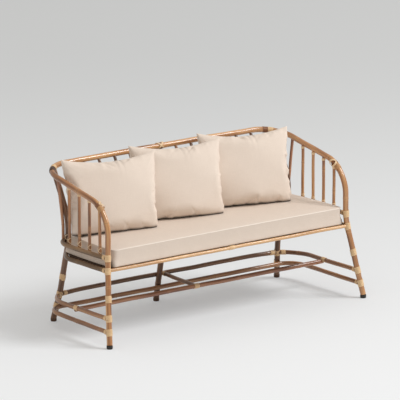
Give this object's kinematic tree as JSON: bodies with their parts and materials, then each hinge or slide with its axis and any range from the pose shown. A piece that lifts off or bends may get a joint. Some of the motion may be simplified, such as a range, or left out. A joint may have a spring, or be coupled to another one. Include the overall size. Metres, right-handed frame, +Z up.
{
  "type": "rattan garden sofa",
  "caption": "Bent rattan pole garden sofa with a curved back and arms, slender spindles, a box seat cushion and loose back pillows.",
  "frame": {"origin": "middle of the whole sofa's footprint, on the floor", "axes": "+Z up, +X to the right as one faces the sofa, +Y towards the back; the seat faces -Y"},
  "size_m": [1.6632, 0.6946, 0.8513],
  "materials": {
    "rattan_pole": "clear satin lacquer over peeled rattan pole",
    "rattan_dark": "clear satin lacquer over darker rattan pole",
    "rattan_pale": "clear satin lacquer over pale rattan cane",
    "rattan_peel": "satin rattan peel, wound and tacked",
    "slat_wood": "planed softwood, matt oil",
    "foot_glide": "matt moulded plastic",
    "seat_fabric": "plain woven outdoor fabric, matt",
    "pillow_fabric": "plain woven outdoor fabric, matt"
  },
  "bodies": {
    "root": {"arm_pole_left": "rattan_pole", "foot_glide_front_left": "foot_glide", "arm_pole_right": "rattan_pole", "foot_glide_front_right": "foot_glide", "back_top_rail": "rattan_pole", "arm_base_rail": "rattan_pole", "back_leg_left": "rattan_dark", "foot_glide_back_left": "foot_glide", "back_leg_right": "rattan_dark", "foot_glide_back_right": "foot_glide", "binding_seat_left": "rattan_peel", "binding_upper_left": "rattan_peel", "binding_lower_left": "rattan_peel", "binding_seat_right": "rattan_peel", "binding_upper_right": "rattan_peel", "binding_lower_right": "rattan_peel", "seat_front_rail": "rattan_pale", "seat_side_rail_left": "rattan_pole", "seat_side_rail_right": "rattan_pole", "seat_back_rail": "rattan_dark", "back_leg_middle": "rattan_dark", "foot_glide_back_middle": "foot_glide", "upper_stretcher_left": "rattan_dark", "upper_stretcher_right": "rattan_dark", "upper_stretcher_back": "rattan_dark", "lower_stretcher": "rattan_dark", "mid_stretcher": "rattan_dark", "cross_stretcher": "rattan_dark", "arm_spindle_left_1": "rattan_pole", "arm_spindle_right_1": "rattan_pole", "arm_spindle_left_2": "rattan_pole", "arm_spindle_right_2": "rattan_pole", "arm_spindle_left_3": "rattan_pole", "arm_spindle_right_3": "rattan_pole", "arm_spindle_left_4": "rattan_pole", "arm_spindle_right_4": "rattan_pole", "corner_post_left": "rattan_pole", "corner_post_right": "rattan_pole", "corner_cane_left": "rattan_pole", "corner_cane_right": "rattan_pole", "back_spindle_1": "rattan_pole", "back_spindle_2": "rattan_pole", "back_spindle_3": "rattan_pole", "back_spindle_4": "rattan_pole", "back_spindle_5": "rattan_pole", "back_spindle_6": "rattan_pole", "back_spindle_7": "rattan_pole", "back_spindle_8": "rattan_pole", "back_spindle_9": "rattan_pole", "back_spindle_10": "rattan_pole", "back_spindle_11": "rattan_pole", "back_spindle_12": "rattan_pole", "back_spindle_13": "rattan_pole", "back_spindle_14": "rattan_pole", "back_spindle_15": "rattan_pole", "slat_deck": "slat_wood"},
    "seat_cushion": {"seat_cushion": "seat_fabric"},
    "pillow_left": {"pillow_left": "pillow_fabric"},
    "pillow_middle": {"pillow_middle": "pillow_fabric"},
    "pillow_right": {"pillow_right": "pillow_fabric"}
  },
  "joints": [
    {"name": "seat_cushion_lift", "type": "slide", "parent": "root", "child": "seat_cushion", "axis": [0, 0, 1], "range_m": [0, 0.43]},
    {"name": "pillow_left_lift", "type": "slide", "parent": "seat_cushion", "child": "pillow_left", "axis": [0.0643, 0.268, 0.9613], "range_m": [0, 0.36]},
    {"name": "pillow_middle_lift", "type": "slide", "parent": "seat_cushion", "child": "pillow_middle", "axis": [0.0737, 0.2656, 0.9613], "range_m": [0, 0.36]},
    {"name": "pillow_right_lift", "type": "slide", "parent": "seat_cushion", "child": "pillow_right", "axis": [0.0852, 0.262, 0.9613], "range_m": [0, 0.36]}
  ]
}
